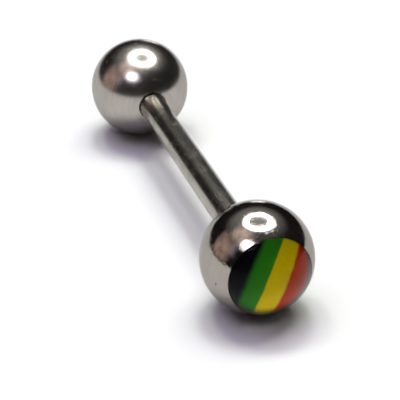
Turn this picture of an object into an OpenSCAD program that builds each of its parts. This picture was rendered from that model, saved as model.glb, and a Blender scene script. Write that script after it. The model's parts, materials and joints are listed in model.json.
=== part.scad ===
// Straight tongue barbell: a steel bar with a ball screwed on each end.
// The ball at -Y holds a round picture: a thin printed disc in a recess,
// under a clear resin dome that completes the curve of the ball.
// Millimetres. The bar lies along Y and both balls rest on Z = 0.

/* [Bar] */
// Diameter of the shaft, 14 gauge
shaft_d = 1.6; // [1.2:0.1:2]
// Length of bare shaft between the two balls
wearable_length = 16; // [10:1:22]
// How far the full shaft reaches into the mouth of each ball
shaft_entry = 0.15; // [0.1:0.01:0.2]

/* [Thread] */
// Length of the thread past the shaft at each end
thread_length = 2.6; // [2:0.1:3]
// Distance from one turn of the thread to the next
thread_pitch = 0.35; // [0.3:0.05:0.5]
// Depth of the thread from its crest to its root
thread_depth = 0.18; // [0.12:0.02:0.24]
// How far the crest of the thread lies below the skin of the shaft
crest_drop = 0.02; // [0.01:0.01:0.05]
// Length of the bevelled tip that starts the thread
tip_bevel = 0.15; // [0.05:0.05:0.3]

/* [Balls] */
// Diameter of both balls
ball_d = 6; // [5.5:0.5:8]
// Empty length of the drilled hole past the tip of the bar
bore_spare = 0.2; // [0.1:0.05:0.4]
// Angle of the drill point that ends the hole
drill_angle = 118; // [90:2:130]
// Width of the bevel at the mouth of the hole
mouth_bevel = 0.06; // [0.03:0.01:0.1]

/* [Picture] */
// Diameter of the recess, seen as the rim of the picture
recess_d = 4.44; // [3.4:0.02:4.6]
// Width of the bevel on the steel round the recess
rim_bevel = 0.04; // [0.02:0.01:0.08]
// Thickness of the printed disc
disc_thickness = 0.25; // [0.15:0.05:0.5]
// Height of the straight wall at the edge of the resin dome
dome_wall = 0.1; // [0.05:0.05:0.3]

/* [Gaps] */
// Radial gap between the thread and the hole in the ball
thread_gap = 0.02; // [0.01:0.01:0.05]
// Gap round the shaft and under its shoulder in the mouth of the ball
mouth_gap = 0.03; // [0.02:0.01:0.05]
// Gap between the steel, the disc and the dome
inlay_gap = 0.02; // [0.01:0.01:0.04]

/* [Hidden] */
$fn = 128;

// Bar and thread
shaft_r = shaft_d / 2;
crest_r = shaft_r - crest_drop;
root_r = crest_r - thread_depth;
shaft_half = wearable_length / 2 + shaft_entry;

// Balls: the skin of the shaft meets the ball this far from the ball's centre
ball_r = ball_d / 2;
mouth_z = sqrt(ball_r * ball_r - shaft_r * shaft_r);
ball_y = wearable_length / 2 + mouth_z;

// Hole in each ball, as heights below the ball's centre towards the bar
mouth_r = shaft_r + mouth_gap;
mouth_floor = mouth_z - shaft_entry - mouth_gap;
bore_r = crest_r + thread_gap;
bore_end = mouth_z - shaft_entry - thread_length - bore_spare;
drill_point = bore_r / tan(drill_angle / 2);

// Inlay, as heights above the ball's centre, away from the bar
recess_r = recess_d / 2;
dome_r = recess_r - inlay_gap;
recess_edge = sqrt(ball_r * ball_r - recess_r * recess_r);
dome_base = sqrt(ball_r * ball_r - dome_r * dome_r) - dome_wall;
disc_top = dome_base - inlay_gap;
disc_base = disc_top - disc_thickness;
recess_floor = disc_base - inlay_gap;

// Form of the thread: widths are shares of the pitch
thread_steps = 16;
crest_share = 0.15;
root_share = 0.85;
root_sink = 0.03;
fade_steps = 6;
thread_turns = (thread_length - tip_bevel) / thread_pitch - 1;
last_step = floor(thread_turns * thread_steps);

// Overshoot that makes a cut run clear of the surface it opens
clear = 0.5;

// Quarter turn that brings the seam line of a ball from its side to its top
seam_turn = 90;

// Share of its full height that the thread has at one step: it fades in and out
function fade(i) = min(1, i / fade_steps, (last_step - i) / fade_steps);

// One slice of the thread, four points in the plane through the axis
function ridge_slice(i) =
    let (
        a = 360 * i / thread_steps,
        z = thread_pitch * (i / thread_steps + 0.5),
        in = root_r - root_sink,
        out = root_r - root_sink / 2 + (thread_depth + root_sink / 2) * fade(i),
        c = thread_pitch * crest_share / 2,
        w = thread_pitch * root_share / 2
    )
    [for (p = [[in, -w], [out, -c], [out, c], [in, w]])
        [p[0] * cos(a), p[0] * sin(a), z + p[1]]];

// Right-hand thread, starting at the shoulder of the shaft and rising along +Z
module thread_ridge() {
    points = [for (i = [0:last_step]) for (p = ridge_slice(i)) p];
    sides = [for (i = [0:last_step - 1]) for (k = [0:3])
        let (
            a = 4 * i + k,
            b = 4 * i + (k + 1) % 4
        )
        for (t = [[a, b, a + 4], [b, b + 4, a + 4]]) t];
    first = [[0, 2, 1], [0, 3, 2]];
    n = 4 * last_step;
    last = [[n, n + 1, n + 2], [n, n + 2, n + 3]];
    polyhedron(points = points, faces = concat(sides, first, last), convexity = 10);
}

// One threaded end of the bar, rising along +Z from the shoulder of the shaft
module threaded_end() {
    translate([0, 0, -clear])
        cylinder(h = clear + thread_length - tip_bevel, r = root_r);
    translate([0, 0, thread_length - tip_bevel])
        cylinder(h = tip_bevel, r1 = root_r, r2 = root_r - tip_bevel / 2);
    thread_ridge();
}

// Frames at the two ends: +Z of a child points away from the middle of the bar, +Y up
module towards_picture(y) {
    translate([0, -y, ball_r])
        rotate([90, 0, 0])
            children();
}

module towards_plain(y) {
    rotate([0, 0, 180])
        towards_picture(y)
            children();
}

// Ball centred on the origin, with the hole that takes the bar opening towards -Z.
// The seam line of the sphere is turned to the top of the lying barbell.
module drilled_ball() {
    difference() {
        rotate([0, 0, seam_turn])
            sphere(r = ball_r);
        translate([0, 0, -ball_r - clear])
            cylinder(h = ball_r + clear - mouth_floor, r = mouth_r);
        translate([0, 0, -mouth_z - mouth_bevel])
            cylinder(h = 2 * mouth_bevel, r1 = mouth_r + 2 * mouth_bevel, r2 = mouth_r);
        translate([0, 0, -mouth_floor - clear])
            cylinder(h = mouth_floor + clear - bore_end, r = bore_r);
        translate([0, 0, -bore_end])
            cylinder(h = drill_point, r1 = bore_r, r2 = 0);
    }
}

module bar() {
    color("lightslategray") {
        towards_picture(-shaft_half)
            cylinder(h = 2 * shaft_half, r = shaft_r);
        towards_picture(shaft_half)
            threaded_end();
        towards_plain(shaft_half)
            threaded_end();
    }
}

module plain_ball() {
    color("silver")
        towards_plain(ball_y)
            drilled_ball();
}

module picture_ball() {
    color("silver")
        towards_picture(ball_y)
            difference() {
                drilled_ball();
                translate([0, 0, recess_floor])
                    cylinder(h = ball_r, r = recess_r);
                translate([0, 0, recess_edge - rim_bevel])
                    cylinder(h = 2 * rim_bevel, r1 = recess_r, r2 = recess_r + 2 * rim_bevel);
            }
}

module picture_disc() {
    color("gold")
        towards_picture(ball_y)
            translate([0, 0, disc_base])
                cylinder(h = disc_thickness, r = dome_r);
}

module resin_dome() {
    color("palegreen", 0.6)
        towards_picture(ball_y)
            intersection() {
                sphere(r = ball_r);
                translate([0, 0, dome_base])
                    cylinder(h = ball_r, r = dome_r);
            }
}

bar();
plain_ball();
picture_ball();
picture_disc();
resin_dome();
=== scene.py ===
# %% [markdown]
# # A tongue barbell, dressed for the camera
# The real one is a straight post of polished surgical steel with a fine thread cut on each end, and a
# 6 mm ball screwed onto each. One ball is plain. The other has a round recess in its outer face, which
# holds a printed disc of stripes under a dome of clear resin.
#
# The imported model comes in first, as a frame that nothing here moves. Its round faces are made of small
# flat ones. That is enough to test fits, but a mirror finish would show each of them, so every piece is
# turned afresh here, far finer, from sizes that are read off the frame.

# %% Load the frame
import json
import math

import bmesh
import bpy
from mathutils import Matrix, Vector


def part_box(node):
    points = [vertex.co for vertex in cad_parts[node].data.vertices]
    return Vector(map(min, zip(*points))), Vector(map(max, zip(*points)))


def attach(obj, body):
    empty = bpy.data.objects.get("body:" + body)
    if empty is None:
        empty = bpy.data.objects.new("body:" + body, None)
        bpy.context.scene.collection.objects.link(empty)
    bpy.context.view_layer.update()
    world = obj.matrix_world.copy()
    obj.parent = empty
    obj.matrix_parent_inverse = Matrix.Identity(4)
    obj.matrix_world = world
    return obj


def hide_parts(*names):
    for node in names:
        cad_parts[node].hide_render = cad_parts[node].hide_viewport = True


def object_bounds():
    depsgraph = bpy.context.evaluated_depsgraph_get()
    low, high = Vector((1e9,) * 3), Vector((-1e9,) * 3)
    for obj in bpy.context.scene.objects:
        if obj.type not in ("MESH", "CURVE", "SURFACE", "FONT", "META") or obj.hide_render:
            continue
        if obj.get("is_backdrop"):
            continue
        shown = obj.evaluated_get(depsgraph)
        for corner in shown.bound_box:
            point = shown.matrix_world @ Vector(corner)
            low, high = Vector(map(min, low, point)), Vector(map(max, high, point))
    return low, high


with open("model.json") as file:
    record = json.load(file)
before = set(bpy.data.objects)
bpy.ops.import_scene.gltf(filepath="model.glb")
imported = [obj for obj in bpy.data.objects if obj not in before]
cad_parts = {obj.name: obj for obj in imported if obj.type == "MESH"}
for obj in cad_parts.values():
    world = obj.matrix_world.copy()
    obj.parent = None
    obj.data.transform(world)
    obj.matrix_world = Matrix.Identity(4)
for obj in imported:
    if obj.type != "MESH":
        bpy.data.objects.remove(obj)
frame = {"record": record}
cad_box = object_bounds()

scene = bpy.context.scene

# %% [markdown]
# ## Sizes
# Outlines are easier to think about in millimetres, so the sizes below are millimetres, and a mesh is
# brought down to metres when it is put in its place. A height in a ball is measured from the ball's
# centre, along the bar and away from its middle.

# %% Sizes that the frame gives
MM = 0.001


def far_end(node, axis=1):
    """How far a CAD node reaches from the origin along one axis, in millimetres."""
    low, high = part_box(node)
    return max(-low[axis], high[axis]) / MM


def near_end(node):
    """How close a CAD node comes to the origin along the bar, in millimetres."""
    low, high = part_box(node)
    return min(abs(low[1]), abs(high[1])) / MM


shaft_mount = frame["record"]["mounts"][0]
SHAFT_R = shaft_mount["dims"]["r_mm"]
SHAFT_HALF = shaft_mount["dims"]["length_mm"] / 2
BALL_R = shaft_mount["pos_m"][2] / MM
BALL_Y = far_end("plain_ball") - BALL_R
BAR_HALF = far_end("bar")
THREAD_LENGTH = BAR_HALF - SHAFT_HALF
INLAY_R = far_end("resin_dome", axis=0)
DISC_BASE = near_end("picture_disc") - BALL_Y
DISC_TOP = far_end("picture_disc") - BALL_Y
print(f"ball {2 * BALL_R:.2f} mm, shaft {2 * SHAFT_R:.2f} mm")
print(f"thread {THREAD_LENGTH:.2f} mm, inlay {2 * INLAY_R:.2f} mm")

# %% [markdown]
# The frame's boxes don't say how deep the thread is, or how wide the gaps, bevels and rounds are. Those
# small forms are set here, as a maker would turn them: a few hundredths to a few tenths of a millimetre.

# %% Sizes of the small forms
PITCH = 0.35
THREAD_DEPTH = 0.18
THREAD_GAP = 0.02
CREST_R = SHAFT_R - THREAD_GAP
ROOT_R = CREST_R - THREAD_DEPTH
HOLE_CREST_R = ROOT_R + 0.045
THREAD_SINK = 0.03
HOLE_THREAD_SINK = 0.02
FADE_TURNS = 0.375
TIP_BEVEL = 0.15
SHOULDER_ROUND = 0.04

INLAY_GAP = 0.02
RECESS_R = INLAY_R + INLAY_GAP
RECESS_FLOOR = DISC_BASE - INLAY_GAP
RIM_BEVEL = 0.04

MOUTH_GAP = 0.03
MOUTH_R = SHAFT_R + MOUTH_GAP
MOUTH_BEVEL = 0.04
MOUTH_FLOOR = SHAFT_HALF - BALL_Y + MOUTH_GAP
BORE_R = CREST_R + THREAD_GAP
BORE_SPARE = 0.2
BORE_END = BAR_HALF - BALL_Y + BORE_SPARE
DRILL_ANGLE = 118
DRILL_POINT = BORE_R / math.tan(math.radians(DRILL_ANGLE / 2))
print(f"bore {2 * BORE_R:.2f} mm, mouth {2 * MOUTH_R:.2f} mm, recess {2 * RECESS_R:.2f} mm")

# %% [markdown]
# ## Short calls for building node trees
# Every finish and two of the shapes are node trees. Adding a node, setting its inputs and joining its
# wires takes four or five lines in plain Blender calls, which would hide what a tree does. This small
# helper makes it one line a node: an input that is given a socket is wired to it, and an input that is
# given a number or a colour is set to it.


# %% Helper for node trees
class Nodes:
    """Adds nodes to one tree and wires them."""

    def __init__(self, tree):
        self.tree = tree

    def feed(self, node, inputs):
        """Wires each input to a socket, or sets it to a number or a colour."""
        for key, value in inputs.items():
            if isinstance(value, bpy.types.NodeSocket):
                self.tree.links.new(value, node.inputs[key])
            else:
                node.inputs[key].default_value = value

    def add(self, kind, inputs=None, **settings):
        node = self.tree.nodes.new(kind)
        for name, value in settings.items():
            setattr(node, name, value)
        self.feed(node, inputs or {})
        return node

    def math(self, operation, *values):
        return self.add("ShaderNodeMath", dict(enumerate(values)), operation=operation).outputs[0]

    def whole(self, operation, *values):
        """Arithmetic on whole numbers."""
        inputs = dict(enumerate(values))
        return self.add("FunctionNodeIntegerMath", inputs, operation=operation).outputs[0]

    def distance(self, a, b):
        return self.add("ShaderNodeVectorMath", {0: a, 1: b}, operation="DISTANCE").outputs["Value"]

    def point(self, x=0.0, y=0.0, z=0.0):
        return self.add("ShaderNodeCombineXYZ", {0: x, 1: y, 2: z}).outputs[0]

    def turned_point(self, radius, angle, height):
        """A point at a distance from the axis, an angle round it and a height along it."""
        x = self.math("MULTIPLY", radius, self.math("COSINE", angle))
        y = self.math("MULTIPLY", radius, self.math("SINE", angle))
        return self.point(x, y, height)

    def ramp(self, value, low, high, start=0.0, end=1.0):
        """A value that goes smoothly from start to end as another goes from low to high."""
        inputs = {"Value": value, "From Min": low, "From Max": high, "To Min": start, "To Max": end}
        return self.add("ShaderNodeMapRange", inputs, interpolation_type="SMOOTHSTEP").outputs[0]

    def blend(self, factor, a, b):
        """Colour a where the factor is 0 and colour b where it is 1."""
        return self.add("ShaderNodeMix", {0: factor, 6: a, 7: b}, data_type="RGBA").outputs[2]

    def bump(self, height, depth):
        """Lets a height from 0 to 1 tilt the surface, as if it stood that deep in metres."""
        inputs = {"Height": height, "Distance": depth, "Strength": 1.0}
        return self.add("ShaderNodeBump", inputs).outputs[0]

    def use(self, group, **values):
        """Places a shared group, with its own values, and returns its output."""
        return self.add("ShaderNodeGroup", values, node_tree=group).outputs[0]


# %% [markdown]
# A node group is made in two steps. Its named sockets come first, then its nodes, and at the end its
# result is wired to its output. A tree is also laid out tidily, so that it can be read in the editor.

# %% Helpers for node groups
NODE_WIDTH = 220
NODE_HEIGHT = 240


def new_group(name, kind, inputs, outputs):
    """A node group with named sockets. Returns its helper, its inputs by name and its output node."""
    n = Nodes(bpy.data.node_groups.new(name, kind))
    for in_out, sockets in (("INPUT", inputs), ("OUTPUT", outputs)):
        for label, sort in sockets.items():
            n.tree.interface.new_socket(name=label, in_out=in_out, socket_type="NodeSocket" + sort)
    return n, n.add("NodeGroupInput").outputs, n.add("NodeGroupOutput")


def arrange(tree):
    """Lays a tree out from left to right in the order that its wires run, so that it can be read."""
    depth = {}

    def reach(node):
        if node not in depth:
            before = [link.from_node for socket in node.inputs for link in socket.links]
            depth[node] = 1 + max(map(reach, before), default=-1)
        return depth[node]

    filled = {}
    for node in tree.nodes:
        column = reach(node)
        node.location = (column * NODE_WIDTH, -filled.get(column, 0) * NODE_HEIGHT)
        filled[column] = filled.get(column, 0) + 1


def close_group(n, out, result):
    """Wires a group's result to its output node and hands the tree over."""
    n.feed(out, {0: result})
    arrange(n.tree)
    print(f"{n.tree.name}: {len(n.tree.nodes)} nodes")
    return n.tree


# %% [markdown]
# ## Turning a shape on a lathe
# The bar, the balls, the disc and the resin are all turned shapes: one outline, spun round an axis. The
# Spin tool or a Screw modifier could do that, but a Geometry Nodes tree states the rule itself. It makes
# a flat grid with a row for each point of the outline and a column for each step of the turn, and bends
# the grid round: a vertex takes its distance and height from the outline's point, and its angle from
# its column. Merging then closes the seam and the poles.

# %% The lathe tree
MERGE_DISTANCE = 1e-5


def close_shape(n, grid, places, given, out):
    """Moves the grid's points to their places, closes seams and poles, and sets the finish."""
    bent = n.add("GeometryNodeSetPosition", {"Geometry": grid, "Position": places}).outputs[0]
    merge = {"Geometry": bent, "Distance": MERGE_DISTANCE}
    closed = n.add("GeometryNodeMergeByDistance", merge).outputs[0]
    real = n.add("GeometryNodeRealizeInstances", {"Geometry": closed}).outputs[0]
    finish = {"Geometry": real, "Material": given["Finish"]}
    return close_group(n, out, n.add("GeometryNodeSetMaterial", finish).outputs[0])


def make_lathe():
    inputs = {"Outline": "Geometry", "Segments": "Int", "Finish": "Material"}
    n, given, out = new_group("turned_on_a_lathe", "GeometryNodeTree", inputs, {"Geometry": "Geometry"})
    count = n.add("GeometryNodeAttributeDomainSize", {"Geometry": given["Outline"]})
    rows = count.outputs["Point Count"]
    columns = n.whole("ADD", given["Segments"], 1)
    grid = n.add("GeometryNodeMeshGrid", {"Vertices X": rows, "Vertices Y": columns}).outputs["Mesh"]

    index = n.add("GeometryNodeInputIndex").outputs[0]
    position = n.add("GeometryNodeInputPosition").outputs[0]
    row = n.whole("DIVIDE_FLOOR", index, columns)
    sample = {"Geometry": given["Outline"], "Value": position, "Index": row}
    point = n.add("GeometryNodeSampleIndex", sample, data_type="FLOAT_VECTOR").outputs[0]
    radius, _, height = n.add("ShaderNodeSeparateXYZ", {0: point}).outputs

    step = n.math("DIVIDE", 2 * math.pi, given["Segments"])
    angle = n.math("MULTIPLY", n.whole("MODULO", index, columns), step)
    return close_shape(n, grid, n.turned_point(radius, angle, height), given, out)


lathe = make_lathe()

# %% [markdown]
# ## Cutting a thread
# A thread is one ridge that climbs the bar as it winds round it. It is again a grid that is bent: a row
# for each step along the helix, and a column for each corner of the ridge's section. At its two ends the
# ridge shrinks to a point, as a real thread runs out, which also closes the shape. The same tree makes
# the thread in the balls, with its crest turned inwards.


# %% The thread tree
def make_thread_cutter():
    sizes = ["Turns", "First Turn", "Pitch", "First Height", "Fade Turns"]
    sizes += ["Base Radius", "Crest Radius", "Base Half Width", "Crest Half Width"]
    inputs = {"Steps per Turn": "Int", **dict.fromkeys(sizes, "Float"), "Finish": "Material"}
    n, given, out = new_group("thread", "GeometryNodeTree", inputs, {"Geometry": "Geometry"})
    corners = 4
    columns = corners + 1
    steps = given["Steps per Turn"]
    last_row = n.math("FLOOR", n.math("MULTIPLY", given["Turns"], steps))
    rows = n.math("ADD", last_row, 1)
    grid = n.add("GeometryNodeMeshGrid", {"Vertices X": rows, "Vertices Y": columns}).outputs["Mesh"]

    index = n.add("GeometryNodeInputIndex").outputs[0]
    row = n.whole("DIVIDE_FLOOR", index, columns)
    corner = n.whole("MODULO", index, columns)
    fade_rows = n.math("MULTIPLY", given["Fade Turns"], steps)
    rows_left = n.math("SUBTRACT", last_row, row)
    fade = n.math("MINIMUM", 1.0, n.math("DIVIDE", n.math("MINIMUM", row, rows_left), fade_rows))

    # Corners 1 and 2 are on the crest, and corners 2 and 3 are on the higher side
    on_crest = n.math("LESS_THAN", n.math("ABSOLUTE", n.math("SUBTRACT", corner, 1.5)), 1.0)
    on_top = n.math("LESS_THAN", n.math("ABSOLUTE", n.math("SUBTRACT", corner, 2.5)), 1.0)
    side = n.math("MULTIPLY_ADD", on_top, 2.0, -1.0)

    rise = n.math("SUBTRACT", given["Crest Radius"], given["Base Radius"])
    radius = n.math("MULTIPLY_ADD", n.math("MULTIPLY", on_crest, fade), rise, given["Base Radius"])
    narrowing = n.math("SUBTRACT", given["Crest Half Width"], given["Base Half Width"])
    half_width = n.math("MULTIPLY_ADD", on_crest, narrowing, given["Base Half Width"])
    offset = n.math("MULTIPLY", n.math("MULTIPLY", side, fade), half_width)

    turn = n.math("ADD", given["First Turn"], n.math("DIVIDE", row, steps))
    angle = n.math("MULTIPLY", turn, 2 * math.pi)
    climb = n.math("MULTIPLY_ADD", turn, given["Pitch"], given["First Height"])
    places = n.turned_point(radius, angle, n.math("ADD", climb, offset))
    return close_shape(n, grid, places, given, out)


thread_cutter = make_thread_cutter()

# %% [markdown]
# ## From a tree to a plain mesh
# A modifier keeps its input values under the identifiers of the tree's sockets, so each name is looked
# up first. The evaluated result becomes a mesh of its own, which is turned the right way out, brought
# from millimetres to metres and moved to its place. The source object and its modifier are then gone.


# %% Helpers for meshes
def run_tree(tree, values, points=((0, 0),)):
    """The mesh that a tree makes from an outline, given as (distance from the axis, height) in mm."""
    outline = bpy.data.meshes.new("outline")
    steps = [(i, i + 1) for i in range(len(points) - 1)]
    outline.from_pydata([(r, 0, z) for r, z in points], steps, [])
    source = bpy.data.objects.new("source", outline)
    scene.collection.objects.link(source)
    modifier = source.modifiers.new("tree", "NODES")
    modifier.node_group = tree
    for item in tree.interface.items_tree:
        if item.in_out == "INPUT" and item.name in values:
            modifier[item.identifier] = values[item.name]
    evaluated = source.evaluated_get(bpy.context.evaluated_depsgraph_get())
    made = bpy.data.meshes.new_from_object(evaluated)
    bpy.data.objects.remove(source)
    bpy.data.meshes.remove(outline)
    return made


def make_piece(name, placed, sharp_from=30):
    """One object out of (mesh in mm, place) pairs, with faces outwards and edges sharp past an angle."""
    bm = bmesh.new()
    for mesh, place in placed:
        mesh.transform(place @ Matrix.Scale(MM, 4))
        bm.from_mesh(mesh)
    bmesh.ops.recalc_face_normals(bm, faces=bm.faces)
    joined = bpy.data.meshes.new(name)
    bm.to_mesh(joined)
    bm.free()
    for material in placed[0][0].materials:
        joined.materials.append(material)
    joined.shade_smooth()
    joined.set_sharp_from_angle(angle=math.radians(sharp_from))
    piece = bpy.data.objects.new(name, joined)
    scene.collection.objects.link(piece)
    size = [round(d / MM, 3) for d in piece.dimensions]
    print(f"{name}: {len(joined.polygons)} faces, {size} mm")
    return piece


def towards_picture(y=0.0):
    """Turns +Z of a turned shape to -Y of the row, at a distance from the row's origin in mm."""
    return Matrix.Translation((0, -y * MM, BALL_R * MM)) @ Matrix.Rotation(math.pi / 2, 4, "X")


def towards_plain(y=0.0):
    """The same for the other end: +Z of a turned shape goes to +Y of the row."""
    return Matrix.Rotation(math.pi, 4, "Z") @ towards_picture(y)


# %% [markdown]
# An outline is put together from round and straight stretches. Smooth shading blends the faces on both
# sides of a point, which would bulge a long flat face. A guard point close to each end of a straight
# stretch keeps that blend to the last hundredth of a millimetre.

# %% Helpers for outlines
GUARD = 0.012
LONGEST_GUARD_SHARE = 0.25
SAME_POINT = 1e-6


def arc(radius, start, end, centre=(0.0, 0.0), step=1.5):
    """Points on a round stretch of an outline. Angles are in degrees, 0 straight out from the axis."""
    count = max(2, round(abs(end - start) / step))
    angles = [math.radians(start + (end - start) * i / count) for i in range(count + 1)]
    return [(centre[0] + radius * math.cos(a), centre[1] + radius * math.sin(a)) for a in angles]


def straight(a, b):
    """A straight stretch with a guard point near each end."""
    t = min(LONGEST_GUARD_SHARE, GUARD / math.dist(a, b))
    return [tuple(p + (q - p) * s for p, q in zip(a, b)) for s in (0.0, t, 1.0 - t, 1.0)]


def chain(*stretches):
    """One outline out of several stretches, with no point twice."""
    points = []
    for point in (p for stretch in stretches for p in stretch):
        if not points or math.dist(point, points[-1]) > SAME_POINT:
            points.append(point)
    return points


# %% [markdown]
# ## Effects that several finishes share
# Polished steel is never one flat colour. Turning and buffing leave very fine lines, the buffing wheel
# leaves a soft unevenness, and handling leaves a few pits and specks. Each effect is a shader node group
# that is built once. Each reads the piece's own object coordinates, in metres, so it stays on the piece
# when a ball is unscrewed.


# %% Shared shader groups
def make_fine_lines():
    """Lines left by turning or drawing. Cells is how many cells of noise a metre holds on each axis."""
    inputs = {"Place": "Vector", "Cells": "Vector", "Detail": "Float"}
    n, given, out = new_group("fine_lines", "ShaderNodeTree", inputs, {"Lines": "Float"})
    factors = {0: given["Place"], 1: given["Cells"]}
    stretched = n.add("ShaderNodeVectorMath", factors, operation="MULTIPLY").outputs[0]
    noise = n.add("ShaderNodeTexNoise", {"Vector": stretched, "Scale": 1.0, "Detail": given["Detail"]})
    return close_group(n, out, n.ramp(noise.outputs["Fac"], 0.3, 0.7))


def make_cloud():
    """Soft unevenness, in patches of a given width. Contrast 0 is even and 1 is patchy."""
    inputs = {"Place": "Vector", "Width": "Float", "Contrast": "Float"}
    n, given, out = new_group("cloud", "ShaderNodeTree", inputs, {"Cloud": "Float"})
    scale = n.math("DIVIDE", 1.0, given["Width"])
    noise = n.add("ShaderNodeTexNoise", {"Vector": given["Place"], "Scale": scale, "Detail": 3.0})
    half = n.math("MULTIPLY_ADD", given["Contrast"], -0.35, 0.5)
    low = n.math("SUBTRACT", half, 0.05)
    return close_group(n, out, n.ramp(noise.outputs["Fac"], low, n.math("SUBTRACT", 1.0, low)))


def make_specks():
    """Scattered round marks such as pits. Share is the part of the places that has one."""
    inputs = {"Place": "Vector", "Spacing": "Float", "Radius": "Float", "Share": "Float"}
    n, given, out = new_group("specks", "ShaderNodeTree", inputs, {"Specks": "Float"})
    scale = n.math("DIVIDE", 1.0, given["Spacing"])
    cells = n.add("ShaderNodeTexVoronoi", {"Vector": given["Place"], "Scale": scale})
    chance, width, _ = n.add("ShaderNodeSeparateColor", {0: cells.outputs["Color"]}).outputs
    reach = n.math("DIVIDE", given["Radius"], given["Spacing"])
    reach = n.math("MULTIPLY", reach, n.ramp(width, 0.0, 1.0, 0.5, 1.0))
    spot = n.ramp(cells.outputs["Distance"], n.math("MULTIPLY", reach, 0.4), reach, 1.0, 0.0)
    there = n.math("LESS_THAN", chance, given["Share"])
    return close_group(n, out, n.math("MULTIPLY", spot, there))


fine_lines = make_fine_lines()
cloud = make_cloud()
specks = make_specks()

# %% [markdown]
# Each finish below starts from a material with its Principled shader and ends by feeding that shader.
# What changes over the surface comes in by wires, and what is the same all over is set as a plain value.


# %% Helpers for finishes
def new_finish(name):
    """A material with its node helper, its Principled shader and the piece's object coordinates."""
    material = bpy.data.materials.new(name)
    material.use_nodes = True
    n = Nodes(material.node_tree)
    return material, n, n.tree.nodes["Principled BSDF"], n.add("ShaderNodeTexCoord").outputs["Object"]


def close_finish(material, n, shader, inputs):
    """Feeds a finish's shader and hands the material over."""
    n.feed(shader, inputs)
    arrange(n.tree)
    print(f"{material.name}: {len(n.tree.nodes)} nodes")
    return material


# %% [markdown]
# ## Mirror-polished steel for the balls
# Each ball is turned on a lathe round the bar's own line and then buffed, so the last faint lines run
# round that line. They bend a reflection by less than a degree, and show mostly as a ragged edge on the
# brightest ones. Between them the buffed skin is not quite even: some patches are a little hazier. A few
# small pits hold dirt, and look dark, and the picture ball has one dark nick low on its left side. Wear
# adds scuffs that are too small to see one by one, but together they give the bright ring its halo.
#
# The plain ball gets a softer polish than the picture ball. It lies out of focus in the photograph, and
# the softer polish stands in for that.

# %% Finish: ball steel
NICK = [(-0.002668, -0.012229, 0.002745), (-0.002662, -0.012190, 0.002640)]
NICK_CORE = 0.02 * MM
NICK_EDGE = 0.07 * MM


def make_ball_steel(name, bright, dull, softness, wear):
    """Softness is added to the roughness of the polish. Wear, from 0 to 1, scales its fine marks."""
    material, n, shader, place = new_finish(name)
    lines = n.use(fine_lines, Place=place, Cells=(700, 9000, 700), Detail=3.0)
    haze = n.use(cloud, Place=place, Width=1.3 * MM, Contrast=0.6)
    grain = n.use(cloud, Place=place, Width=0.13 * MM, Contrast=0.9)
    scuffs = n.use(specks, Place=place, Spacing=0.13 * MM, Radius=0.08 * MM, Share=0.6)
    pits = n.use(specks, Place=place, Spacing=0.9 * MM, Radius=0.055 * MM, Share=0.12)
    for end in NICK:
        pits = n.math("MAXIMUM", pits, n.ramp(n.distance(place, end), NICK_CORE, NICK_EDGE, 1.0, 0.0))

    steel = n.blend(haze, bright, dull)
    steel = n.blend(n.math("MULTIPLY", lines, 0.22), steel, (0.24, 0.225, 0.205, 1))
    steel = n.blend(n.math("MULTIPLY", pits, 0.9), steel, (0.05, 0.042, 0.035, 1))

    rough = n.math("MULTIPLY_ADD", haze, 0.05, 0.03 + softness)
    rough = n.math("MULTIPLY_ADD", n.math("MULTIPLY", grain, lines), 0.09, rough)
    rough = n.math("MULTIPLY_ADD", pits, 0.5, rough)
    rough = n.math("MULTIPLY_ADD", scuffs, 0.14 * wear, rough)

    height = n.math("MULTIPLY_ADD", pits, -8.0, n.math("MULTIPLY_ADD", grain, 5.5 * wear, lines))
    return close_finish(material, n, shader, {
        "Base Color": steel, "Roughness": rough, "Normal": n.bump(height, 0.0000006),
        "Metallic": 1.0, "Specular Tint": (0.7, 0.7, 0.7, 1),
    })


bright_steel = make_ball_steel(
    "bright_ball_steel", bright=(0.375, 0.347, 0.308, 1), dull=(0.335, 0.31, 0.275, 1),
    softness=0.0, wear=1.0)
# The plain ball's steel is set a little lighter and warmer than the picture ball's, a painted brightening
# of the floor's reflection in it
softer_steel = make_ball_steel(
    "softer_ball_steel", bright=(0.43, 0.40, 0.36, 1), dull=(0.39, 0.36, 0.325, 1),
    softness=0.14, wear=0.1)

# %% [markdown]
# ## Drawn steel for the bar
# The post could share the finish of the balls, as it is the same metal. But it is drawn, then polished
# along its length, so its lines run lengthwise and it is less of a mirror. It also looks darker and a
# little warmer than the balls, so it gets a finish of its own.


# %% Finish: bar steel
def make_bar_steel():
    material, n, shader, place = new_finish("bar_steel")
    lines = n.use(fine_lines, Place=place, Cells=(16000, 350, 16000), Detail=2.0)
    rings = n.use(fine_lines, Place=place, Cells=(700, 5000, 700), Detail=1.0)
    haze = n.use(cloud, Place=place, Width=1.6 * MM, Contrast=0.3)
    pits = n.use(specks, Place=place, Spacing=0.6 * MM, Radius=0.035 * MM, Share=0.1)

    steel = n.blend(haze, (0.343, 0.327, 0.28, 1), (0.292, 0.277, 0.234, 1))
    steel = n.blend(n.math("MULTIPLY", lines, 0.2), steel, (0.23, 0.22, 0.185, 1))
    steel = n.blend(n.math("MULTIPLY", pits, 0.8), steel, (0.05, 0.045, 0.04, 1))

    rough = n.math("MULTIPLY_ADD", haze, 0.06, 0.20)
    rough = n.math("MULTIPLY_ADD", lines, 0.04, rough)

    height = n.math("MULTIPLY_ADD", pits, -5.0, n.math("MULTIPLY_ADD", rings, 0.4, lines))
    return close_finish(material, n, shader, {
        "Base Color": steel, "Roughness": rough, "Normal": n.bump(height, 0.0000003), "Metallic": 1.0,
    })


bar_steel = make_bar_steel()

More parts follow.
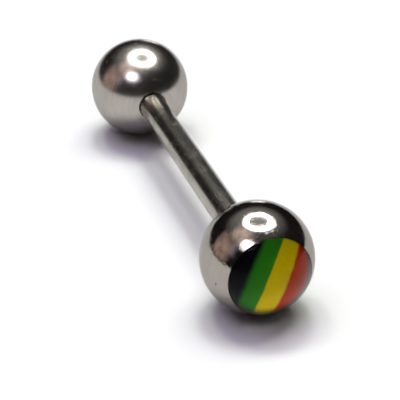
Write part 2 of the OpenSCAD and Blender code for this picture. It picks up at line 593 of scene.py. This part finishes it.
# %% [markdown]
# ## The printed stripes
# The picture is four flat bands of ink: black, green, yellow and red-orange. An image could hold it,
# but bands follow a rule, and nodes draw them as finely as any view asks for. They lean, so the pattern
# is measured across them: a place on the disc is turned into its distance along the line that crosses
# the bands at a right angle. Ink bleeds a little, so each border is a short blend, and its line wavers
# by a few hundredths of a millimetre. The black bleeds most. Solid ink is also a little mottled. The
# resin wets it all over, so the ink has no gloss of its own.
#
# The dome works as a lens: it gathers the light of the pale surface on the lower part of the picture and
# keeps it off the rim. The renderer only follows part of that light, so the ink takes a tone that is
# full near the bottom, lower from the middle upwards and dark at the very rim.

# %% Finish: printed stripes
STRIPE_ANGLE = math.radians(68.5)
STRIPE_BORDERS = [-1.08, -0.16, 0.78]
BORDER_BLUR = [0.20, 0.06, 0.08]
BORDER_WAVER = 0.03
INKS = {
    "black": (0.004, 0.004, 0.009, 1),
    "green": (0.034, 0.280, 0.012, 1),
    "yellow": (0.950, 0.700, 0.0, 1),
    "red_orange": (0.680, 0.036, 0.0, 1),
}
NO_LIGHT = (0.0, 0.0, 0.0, 1)

# Heights over the disc's middle, in metres, where the painted shade starts to darken the ink and where it
# is deepest
SHADE_START_HEIGHT = -1.5 * MM
SHADE_END_HEIGHT = 0.0
UPPER_SHADED_TONE = 0.56

# The painted shade at the rim: its centre on the disc, and the reach from there where it starts and where
# it is darkest
RIM_SHADE_CENTRE = (-0.15 * MM, 0.0, 0.38 * MM)
RIM_SHADE_START = 1.80 * MM
RIM_SHADE_END = 2.36 * MM
RIM_SHADED_TONE = 0.06


def make_print():
    material, n, shader, place = new_finish("stripe_print")
    waver = n.math("SUBTRACT", n.use(cloud, Place=place, Width=0.5 * MM, Contrast=0.3), 0.5)
    mottle = n.use(cloud, Place=place, Width=0.09 * MM, Contrast=0.6)
    patches = n.use(cloud, Place=place, Width=1.1 * MM, Contrast=0.5)

    x, _, z = n.add("ShaderNodeSeparateXYZ", {0: place}).outputs
    up = n.math("SUBTRACT", z, BALL_R * MM)
    across = n.math("MULTIPLY", x, math.sin(STRIPE_ANGLE) / MM)
    across = n.math("MULTIPLY_ADD", up, -math.cos(STRIPE_ANGLE) / MM, across)
    across = n.math("MULTIPLY_ADD", waver, BORDER_WAVER, across)

    ink, *others = INKS.values()
    for next_ink, border, blur in zip(others, STRIPE_BORDERS, BORDER_BLUR):
        ink = n.blend(n.ramp(across, border - blur, border + blur), ink, next_ink)
    ink = n.blend(n.math("MULTIPLY", patches, 0.08), ink, (0.02, 0.02, 0.02, 1))
    ink = n.blend(n.math("MULTIPLY", mottle, 0.12), ink, NO_LIGHT)

    # Painted shade: the ink is full near the bottom, lower from the middle up and darkest at the rim, in
    # place of the dome's light
    from_rim_centre = n.distance(n.point(x=x, z=up), RIM_SHADE_CENTRE)
    rim = n.ramp(from_rim_centre, RIM_SHADE_START, RIM_SHADE_END, 1.0, RIM_SHADED_TONE)
    tone = n.math("MULTIPLY", n.ramp(up, SHADE_START_HEIGHT, SHADE_END_HEIGHT, 1.0, UPPER_SHADED_TONE), rim)
    return close_finish(material, n, shader, {
        "Base Color": n.blend(tone, NO_LIGHT, ink), "Normal": n.bump(mottle, 0.000002),
        "Roughness": n.math("MULTIPLY_ADD", mottle, 0.15, 0.4), "Specular IOR Level": 0.0,
    })


stripe_print = make_print()

# %% [markdown]
# ## The clear resin
# The dome is real glassy stuff: light bends as it goes in and comes back out through the same skin. A
# plain see-through skin would be quicker to render, but it wouldn't move the stripes towards the rim as
# the real dome does. So it is a transmitting shader with the refraction of epoxy. It was poured as a
# liquid, so its skin is smooth, with only the slightest wave. Seen straight on it hardly reflects, so
# its specular tint is low.


# %% Finish: clear resin
def make_resin():
    material, n, shader, place = new_finish("clear_resin")
    wave = n.use(cloud, Place=place, Width=1.5 * MM, Contrast=0.1)
    haze = n.use(cloud, Place=place, Width=0.6 * MM, Contrast=0.4)
    return close_finish(material, n, shader, {
        "Base Color": n.blend(haze, (0.985, 0.99, 0.985, 1), (0.97, 0.975, 0.965, 1)),
        "Roughness": n.math("MULTIPLY_ADD", haze, 0.02, 0.005), "Normal": n.bump(wave, 0.000004),
        "Transmission Weight": 1.0, "IOR": 1.5, "Specular Tint": (0.10, 0.10, 0.10, 1),
    })


clear_resin = make_resin()

# %% [markdown]
# ## The bar
# One piece of steel. Its outline is drawn for one half and mirrored: the bare shaft, a small round at
# the shoulder, the core of the thread, and a bevelled tip. A right-handed ridge is then wound on each
# core. Bump on a plain pin could hint at a thread, but the real one shows in outline once a ball is off,
# so it is made as a shape.

# %% Make the bar
SEGMENTS = 192
THREAD_STEPS = 64
THREAD_TURNS = (THREAD_LENGTH - TIP_BEVEL) / PITCH - 1
FIRST_RING = 0.5


def turned(outline, finish):
    return run_tree(lathe, {"Segments": SEGMENTS, "Finish": finish}, outline)


def thread(**values):
    """A ridge of this thread's pitch. A name such as Base_Radius stands for the input Base Radius."""
    shared = {"Pitch": PITCH, "Fade Turns": FADE_TURNS, "Steps per Turn": THREAD_STEPS}
    return run_tree(thread_cutter, shared | {k.replace("_", " "): v for k, v in values.items()})


def bar_outline():
    shoulder = SHAFT_HALF - SHOULDER_ROUND
    half = chain(
        [(SHAFT_R, 0.0)],
        straight((SHAFT_R, FIRST_RING), (SHAFT_R, shoulder)),
        arc(SHOULDER_ROUND, 0, 90, centre=(SHAFT_R - SHOULDER_ROUND, shoulder), step=11),
        straight((SHAFT_R - SHOULDER_ROUND, SHAFT_HALF), (ROOT_R, SHAFT_HALF)),
        straight((ROOT_R, SHAFT_HALF), (ROOT_R, BAR_HALF - TIP_BEVEL)),
        straight((ROOT_R, BAR_HALF - TIP_BEVEL), (ROOT_R - TIP_BEVEL / 2, BAR_HALF)),
        straight((ROOT_R - TIP_BEVEL / 2, BAR_HALF), (0.0, BAR_HALF)),
    )
    return [(r, -z) for r, z in reversed(half)] + half[1:]


def bar_thread():
    """The ridge on one end of the bar, in heights from the shoulder."""
    return thread(
        Turns=THREAD_TURNS, First_Turn=0.0, First_Height=PITCH / 2, Finish=bar_steel,
        Base_Radius=ROOT_R - THREAD_SINK, Base_Half_Width=0.425 * PITCH,
        Crest_Radius=CREST_R, Crest_Half_Width=0.075 * PITCH)


steel_bar = make_piece("steel_bar", [
    (turned(bar_outline(), bar_steel), towards_picture()),
    (bar_thread(), towards_picture(SHAFT_HALF)),
    (bar_thread(), towards_plain(SHAFT_HALF)),
])
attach(steel_bar, "bar")
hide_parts("bar")

# %% [markdown]
# ## The two balls
# Both balls are drilled from the bar's side: a wider mouth that takes the last of the smooth shaft, then
# the threaded hole, which ends in the cone that a drill leaves. A boolean could drill a finished ball,
# but it leaves long thin faces that a mirror finish shows, so the hole is drawn as part of the outline.
# Both balls share that stretch. The plain ball then closes in a pole. The picture ball ends in its
# recess instead, whose rim has a narrow bevel. The thread in each hole lies half a pitch away from the
# bar's, so the two mesh.

# %% Make the balls
MOUTH_EDGE = MOUTH_R + MOUTH_BEVEL


def hole_outline():
    """From the skin of the ball, in through the mouth, to the point of the drill on the axis."""
    skin = (MOUTH_EDGE, -math.sqrt(BALL_R**2 - MOUTH_EDGE**2))
    return chain(
        straight(skin, (MOUTH_R, skin[1] + MOUTH_BEVEL)),
        straight((MOUTH_R, skin[1] + MOUTH_BEVEL), (MOUTH_R, MOUTH_FLOOR)),
        [(BORE_R, MOUTH_FLOOR)],
        straight((BORE_R, MOUTH_FLOOR), (BORE_R, BORE_END)),
        straight((BORE_R, BORE_END), (0.0, BORE_END + DRILL_POINT)),
    )


def skin_outline(start):
    """The round skin of the ball from an angle down to the edge of the mouth."""
    return arc(BALL_R, start, -math.degrees(math.acos(MOUTH_EDGE / BALL_R)))


def hole_thread(finish):
    """The ridge in a ball's hole, in heights from the ball's centre."""
    return thread(
        Turns=THREAD_TURNS + 1, First_Turn=-0.5, First_Height=SHAFT_HALF - BALL_Y + PITCH,
        Base_Radius=BORE_R + HOLE_THREAD_SINK, Base_Half_Width=0.36 * PITCH,
        Crest_Radius=HOLE_CREST_R, Crest_Half_Width=0.12 * PITCH, Finish=finish)


def make_ball(name, outline, place, finish):
    return make_piece(name, [(turned(outline, finish), place), (hole_thread(finish), place)])


plain_outline = chain(skin_outline(90), hole_outline())
plain_steel_ball = make_ball("plain_steel_ball", plain_outline, towards_plain(BALL_Y), softer_steel)

rim_r = RECESS_R + RIM_BEVEL
rim_z = math.sqrt(BALL_R**2 - rim_r**2)
picture_outline = chain(
    straight((0.0, RECESS_FLOOR), (RECESS_R, RECESS_FLOOR)),
    straight((RECESS_R, RECESS_FLOOR), (RECESS_R, rim_z - RIM_BEVEL)),
    straight((RECESS_R, rim_z - RIM_BEVEL), (rim_r, rim_z)),
    skin_outline(math.degrees(math.asin(rim_z / BALL_R))),
    hole_outline(),
)
in_the_ball = towards_picture(BALL_Y)
picture_steel_ball = make_ball("picture_steel_ball", picture_outline, in_the_ball, bright_steel)

for ball, piece in (("plain", plain_steel_ball), ("picture", picture_steel_ball)):
    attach(piece, f"{ball}_ball")
    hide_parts(f"{ball}_ball")

# %% [markdown]
# ## The disc and the resin over it
# The disc is thin card or foil with the print on it. The resin was poured over it while it lay in the
# recess, so it fills the narrow ring round the disc too, and touches the steel. That matters to the
# look: with air between them, the flat underside of the dome would act as a mirror at some angles. So
# the resin's outline reaches a hair into the steel and under the disc. At the top it ends just below
# the bevel of the rim, which leaves the fine dark line that goes round the picture.

# %% Make the disc and the resin
HAIR = 0.004
DISC_ROUND = 0.02
EDGE_ROUND = 0.09


def disc_outline():
    side = INLAY_R - DISC_ROUND
    return chain(
        straight((0.0, DISC_BASE), (INLAY_R, DISC_BASE)),
        straight((INLAY_R, DISC_BASE), (INLAY_R, DISC_TOP - DISC_ROUND)),
        arc(DISC_ROUND, 0, 90, centre=(side, DISC_TOP - DISC_ROUND), step=15),
        straight((side, DISC_TOP), (0.0, DISC_TOP)),
    )


def resin_outline():
    outer = RECESS_R + HAIR
    base = RECESS_FLOOR - HAIR
    edge = outer - EDGE_ROUND
    centre = (edge, math.sqrt((BALL_R - EDGE_ROUND)**2 - edge**2))
    start = math.degrees(math.atan2(centre[1], centre[0]))
    return chain(
        arc(BALL_R, 90, start),
        arc(EDGE_ROUND, start, 0, centre=centre, step=6),
        straight((outer, centre[1]), (outer, base)),
        straight((outer, base), (0.0, base)),
    )


striped_disc = make_piece("striped_disc", [(turned(disc_outline(), stripe_print), in_the_ball)])
clear_dome = make_piece("clear_dome", [(turned(resin_outline(), clear_resin), in_the_ball)])
for piece, node, slot in ((striped_disc, "picture_disc", "print"), (clear_dome, "resin_dome", "resin")):
    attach(piece, "picture_ball")
    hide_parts(node)

# %% [markdown]
# ## The stage
# Polished metal shows the room more than it shows itself, so most of its look is made here. The part
# lies on a plain pale surface under four soft lights from above. They lean a little to the back and to
# both sides and differ slightly in colour, so the shadow keeps close under the part, with a darker
# middle and a violet left side.

# %% Floor and soft lights
FLOOR_RADIUS = 6.0
FLOOR_SIDES = 96

# Apparent width, lean to the back and lean to the right in degrees, strength and colour
SOFT_LIGHTS = {
    "right_light": (35, 15, 20, 1.48, (1.0, 1.01, 0.93)),
    "back_light": (12, 24, 8, 0.66, (1.0, 1.09, 0.97)),
    "second_back_light": (12, 24, -8, 0.61, (1.0, 1.07, 0.80)),
    "left_light": (60, 5, -15, 1.16, (1.0, 0.91, 1.21)),
}


def make_floor():
    bm = bmesh.new()
    bmesh.ops.create_circle(bm, cap_ends=True, segments=FLOOR_SIDES, radius=FLOOR_RADIUS)
    mesh = bpy.data.meshes.new("floor")
    bm.to_mesh(mesh)
    bm.free()
    material, n, shader, _ = new_finish("pale_surface")
    mesh.materials.append(close_finish(material, n, shader, {
        "Base Color": (0.88, 0.88, 0.885, 1), "Roughness": 0.9, "Specular IOR Level": 0.1,
    }))
    floor = bpy.data.objects.new("floor", mesh)
    scene.collection.objects.link(floor)
    floor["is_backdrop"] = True


def make_soft_light(name, width, back, right, strength, colour):
    data = bpy.data.lights.new(name, "SUN")
    data.energy = strength
    data.color = colour
    data.angle = math.radians(width)
    light = bpy.data.objects.new(name, data)
    light.visible_glossy = False
    light.rotation_euler = (-math.radians(back), math.radians(right), 0.0)
    scene.collection.objects.link(light)
    print(f"{name}: {width} degrees wide, strength {strength}")


make_floor()
for name, values in SOFT_LIGHTS.items():
    make_soft_light(name, *values)

# %% [markdown]
# The room itself is dark, and that is what gives the steel its dark upper half. Looking past the floor,
# the camera sees plain white.

# %% The room
PAST_THE_FLOOR = (1.0, 1.0, 1.0, 1)
IN_REFLECTIONS = (0.018, 0.017, 0.017, 1)
IN_SHADOWS = (0.006, 0.004, 0.010, 1)


def make_room():
    """Pale past the floor, dark in reflections, and a faint cool fill for the shadows."""
    world = bpy.data.worlds.new("room")
    world.use_nodes = True
    scene.world = world
    n = Nodes(world.node_tree)
    path = n.add("ShaderNodeLightPath").outputs
    unseen = n.blend(path["Is Glossy Ray"], IN_SHADOWS, IN_REFLECTIONS)
    n.feed(n.tree.nodes["Background"], {"Color": n.blend(path["Is Camera Ray"], unseen, PAST_THE_FLOOR)})
    arrange(n.tree)
    print(f"{world.name}: {len(n.tree.nodes)} nodes")


make_room()

# %% [markdown]
# A ring lamp hangs over the part and shows as the bright ring on each ball, with a wide glow round it
# and an uneven edge round its dark middle. A few soft cards stand round the part: two warm ones to the
# left, a cool bright one to the front left and a small window far behind, which is the thin highlight on
# top of the balls. Real lamps could stand there, but a mirror shows the very shape of a light, so each
# is a flat sheet whose soft edges and uneven brightness are painted on with nodes. They are all seen in
# reflections only. The front fill isn't even that: it is only seen through the resin, and lights the
# picture from the side that the camera is on.


# %% Sheets that shine
def glow(name, paint):
    """A clear sheet that shines with the colour that paint makes from the node helper and the place."""
    material = bpy.data.materials.new(name)
    material.use_nodes = True
    n = Nodes(material.node_tree)
    n.tree.nodes.remove(n.tree.nodes["Principled BSDF"])
    colour = paint(n, n.add("ShaderNodeTexCoord").outputs["Object"])
    shine = n.add("ShaderNodeEmission", {"Color": colour, "Strength": 1.0}).outputs[0]
    clear = n.add("ShaderNodeBsdfTransparent").outputs[0]
    both = n.add("ShaderNodeAddShader", {0: shine, 1: clear}).outputs[0]
    n.feed(n.tree.nodes["Material Output"], {"Surface": both})
    arrange(n.tree)
    return material


def flat_sheet(name, width, height, paint):
    """A sheet that is seen in reflections and refractions alone."""
    mesh = bpy.data.meshes.new(name)
    w, h = width / 2, height / 2
    mesh.from_pydata([(-w, -h, 0), (w, -h, 0), (w, h, 0), (-w, h, 0)], [], [(0, 1, 2, 3)])
    mesh.materials.append(glow(name + "_glow", paint))
    sheet = bpy.data.objects.new(name, mesh)
    scene.collection.objects.link(sheet)
    sheet.visible_camera = False
    sheet.visible_diffuse = False
    sheet.visible_shadow = False
    sheet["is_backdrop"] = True
    print(f"{name}: {width:.3f} by {height:.3f} m")
    return sheet


# %% The ring lamp
LAMP_HEIGHT = 0.135
LAMP_WIDTH = 0.52
RING_CENTRE = (22.7 * MM, 31.0 * MM, 0.0)
RING_RADIUS = 61 * MM
RING_GLOW = 12.0
HOLE_CENTRE = (17.5 * MM, 26.4 * MM, 0.0)
HOLE_RADIUS = 38 * MM
HOLE_GLOW = 0.25
RAGGED_WIDTH = 18 * MM
RAGGED_REACH = 9 * MM
WIDE_CENTRE = (20.0 * MM, 82.0 * MM, 0.0)
WIDE_RADIUS = 180 * MM
WIDE_GLOW = 0.36


def paint_ring(n, place):
    """A bright ring with a dim ragged hole, and a wide soft glow that reaches furthest to the back."""
    from_ring = n.distance(place, RING_CENTRE)
    inside = n.ramp(from_ring, RING_RADIUS - 2 * MM, RING_RADIUS + 3 * MM, 1.0, 0.0)
    ragged = n.math("SUBTRACT", n.use(cloud, Place=place, Width=RAGGED_WIDTH, Contrast=0.9), 0.5)
    from_hole = n.math("MULTIPLY_ADD", ragged, RAGGED_REACH, n.distance(place, HOLE_CENTRE))
    out_of_hole = n.ramp(from_hole, HOLE_RADIUS - 4 * MM, HOLE_RADIUS + 1 * MM)
    ring = n.math("MULTIPLY", n.math("MULTIPLY", inside, out_of_hole), RING_GLOW)
    wide = n.ramp(n.distance(place, WIDE_CENTRE), 0.2 * WIDE_RADIUS, 1.1 * WIDE_RADIUS, WIDE_GLOW, 0.0)
    level = n.math("ADD", ring, n.math("MULTIPLY_ADD", inside, HOLE_GLOW, wide))
    return n.add("ShaderNodeCombineColor", {0: level, 1: level, 2: level}).outputs[0]


ring_lamp = flat_sheet("ring_lamp", LAMP_WIDTH, LAMP_WIDTH, paint_ring)
ring_lamp.location = (0.0, 0.0, LAMP_HEIGHT)

# %% The cards
CARD_DISTANCE = 0.19

# Azimuth from +Y towards +X and elevation in degrees, width and height in metres, colour, strength,
# how uneven it is, and how far from its middle it stays bright, as a share of its size
CARDS = {
    "warm_card": (-78, 22, 0.20, 0.17, (1.0, 0.70, 0.63), 1.05, 0.8, 0.2),
    "warm_top": (-90, 62, 0.17, 0.17, (1.0, 0.76, 0.70), 1.45, 0.7, 0.12),
    "cool_card": (-135, 50, 0.12, 0.085, (0.9, 0.88, 1.0), 12.0, 0.0, 0.05),
    "cool_fill": (-106, 33, 0.05, 0.12, (0.70, 0.68, 1.0), 0.3, 0.0, 0.25),
    "front_fill": (-162, 10, 0.30, 0.14, (1.0, 1.0, 1.0), 1.2, 0.0, 0.25),
    "far_window": (21.5, 4.4, 0.036, 0.018, (1.0, 1.0, 1.0), 7.0, 0.0, 0.25),
}


def soft_card(width, height, colour, strength, unevenness, core):
    """Paint for a card whose edges fade from its core outwards, and whose brightness may be uneven."""

    def paint(n, place):
        x, y, _ = n.add("ShaderNodeSeparateXYZ", {0: place}).outputs
        across = n.ramp(n.math("ABSOLUTE", x), width * core, width * 0.5, 1.0, 0.0)
        up = n.ramp(n.math("ABSOLUTE", y), height * core, height * 0.5, 1.0, 0.0)
        patches = n.use(cloud, Place=place, Width=45 * MM, Contrast=0.8)
        uneven = n.math("MULTIPLY_ADD", patches, -unevenness, 1.0)
        level = n.math("MULTIPLY", n.math("MULTIPLY", across, up), uneven)
        return n.blend(level, NO_LIGHT, tuple(strength * c for c in colour) + (1,))

    return paint


def make_card(name, azimuth, elevation, width, height, *look):
    """A card that faces the part."""
    a, e = math.radians(azimuth), math.radians(elevation)
    away = Vector((math.sin(a) * math.cos(e), math.cos(a) * math.cos(e), math.sin(e)))
    card = flat_sheet(name, width, height, soft_card(width, height, *look))
    card.rotation_euler = away.to_track_quat("Z", "Y").to_euler()
    card.location = away * CARD_DISTANCE
    return card


cards = {name: make_card(name, *values) for name, values in CARDS.items()}
cards["front_fill"].visible_glossy = False

# %% [markdown]
# ## The camera
# The photograph was taken from close by with the lens well above the picture ball and a little to its
# left. The place and the two angles below give the same view: both balls, the bar and the picture's
# rim fall where they do in the photograph. Colours go to the screen as they are, with no film curve.

# %% Camera
CAMERA_PLACE = Vector((-24.65, -77.50, 45.76)) * MM
CAMERA_AZIMUTH = math.radians(-17.94)
CAMERA_ELEVATION = math.radians(29.02)
LENS = 144.9
SENSOR_WIDTH = 36.0
NEAREST_SEEN = 0.001
FURTHEST_SEEN = 50.0


def make_camera():
    data = bpy.data.cameras.new("camera")
    data.lens = LENS
    data.sensor_width = SENSOR_WIDTH
    data.clip_start = NEAREST_SEEN
    data.clip_end = FURTHEST_SEEN
    camera = bpy.data.objects.new("camera", data)
    scene.collection.objects.link(camera)
    level = math.cos(CAMERA_ELEVATION)
    sideways = math.sin(CAMERA_AZIMUTH) * level
    backwards = -math.cos(CAMERA_AZIMUTH) * level
    away = Vector((sideways, backwards, math.sin(CAMERA_ELEVATION)))
    camera.location = CAMERA_PLACE
    camera.rotation_mode = "QUATERNION"
    camera.rotation_quaternion = (-away).to_track_quat("-Z", "Y")
    scene.camera = camera
    print(f"camera: {CAMERA_PLACE.length / MM:.0f} mm from the origin, {LENS} mm lens")


make_camera()
scene.view_settings.view_transform = "Standard"
scene.view_settings.look = "None"

# %% [markdown]
# ## The sizes at the end
# Blender must not change the object's size, so its box before the work and its box now are printed
# together.

# %% Print the sizes and finish
visual_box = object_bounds()
sizes = {"cad": [list(corner) for corner in cad_box], "visual": [list(corner) for corner in visual_box]}
for name, corners in sizes.items():
    print(f"{name} box in mm:", [[round(c / MM, 3) for c in corner] for corner in corners])
